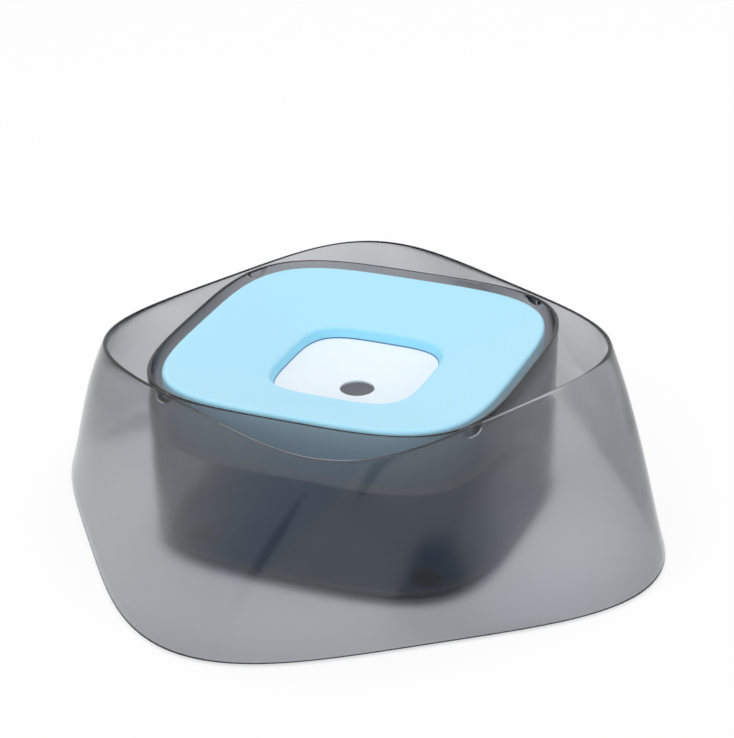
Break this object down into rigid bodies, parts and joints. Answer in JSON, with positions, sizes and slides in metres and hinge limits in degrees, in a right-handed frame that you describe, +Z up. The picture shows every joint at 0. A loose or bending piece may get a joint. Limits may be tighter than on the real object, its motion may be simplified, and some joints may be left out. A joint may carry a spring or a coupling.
{
  "type": "no spill dog water bowl",
  "caption": "Twisted double-walled pet water bowl in smoked plastic with a floating drinking plate that rises and falls with the water and keeps it from slopping over.",
  "frame": {"origin": "on the ground under the middle of the bowl", "axes": "+Z up, X and Y square to the flat sides of the skirt's foot"},
  "size_m": [0.2592, 0.2592, 0.086],
  "materials": {
    "smoked_plastic": "translucent, slightly hazy",
    "pale_blue_plastic": "satin",
    "white_plastic": "satin",
    "foot_rubber": "matte"
  },
  "bodies": {
    "bowl": {"bowl_body": "smoked_plastic", "grip_foot_1": "foot_rubber", "grip_foot_2": "foot_rubber", "grip_foot_3": "foot_rubber", "grip_foot_4": "foot_rubber"},
    "float": {"float_cover": "pale_blue_plastic", "float_base": "white_plastic"}
  },
  "joints": [
    {"name": "float_travel", "type": "slide", "parent": "bowl", "child": "float", "axis": [0, 0, 1], "range_m": [-0.0488, 0.034], "stiffness_N_per_m": 170, "springref_m": 0.0074}
  ]
}
